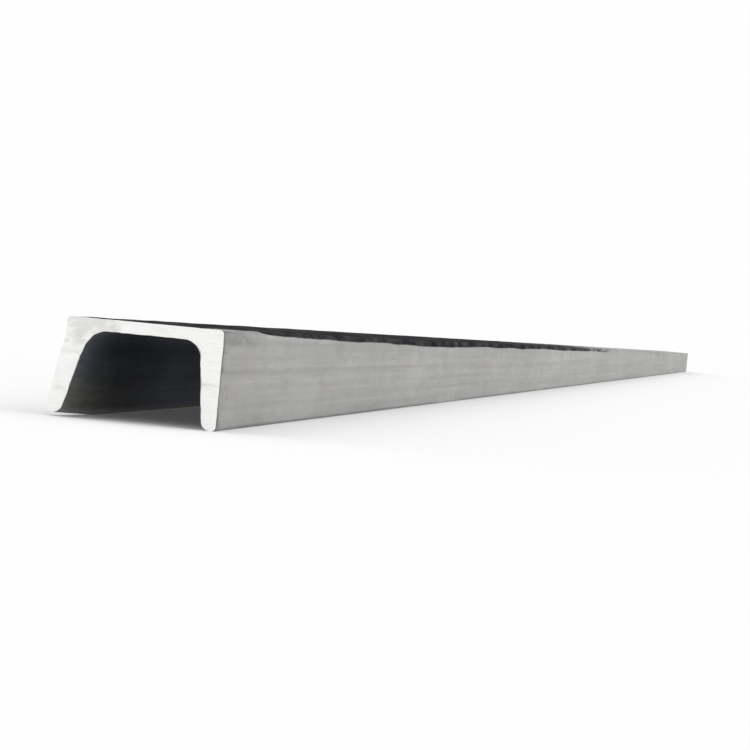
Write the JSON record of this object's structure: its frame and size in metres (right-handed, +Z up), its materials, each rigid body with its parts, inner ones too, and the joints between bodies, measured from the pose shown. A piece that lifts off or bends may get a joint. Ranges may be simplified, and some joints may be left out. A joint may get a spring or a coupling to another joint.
{
  "type": "stainless steel channel",
  "caption": "Straight hot-rolled stainless channel bar with tapered flanges, filleted roots, rounded toes and square cut ends, one flange splayed outward at the near end, lying web up on its toes.",
  "frame": {"origin": "middle of the rolled section's footprint, half-way along the bar, at the level of the flange toes it rests on; the splayed flange end puts the box's own middle 2.6 mm to its left", "axes": "+Y along the bar, from the cut end seen first to the far one; +Z up, out of the back of the web; +X across the section, away from the flange that is splayed at the near end"},
  "size_m": [0.0681, 6, 0.04],
  "materials": {
    "pickled_stainless": "hot-rolled, annealed and pickled: matt mid-grey with fine streaks along the rolling direction; cut ends bright"
  },
  "bodies": {
    "root": {"channel": "pickled_stainless"}
  },
  "joints": []
}
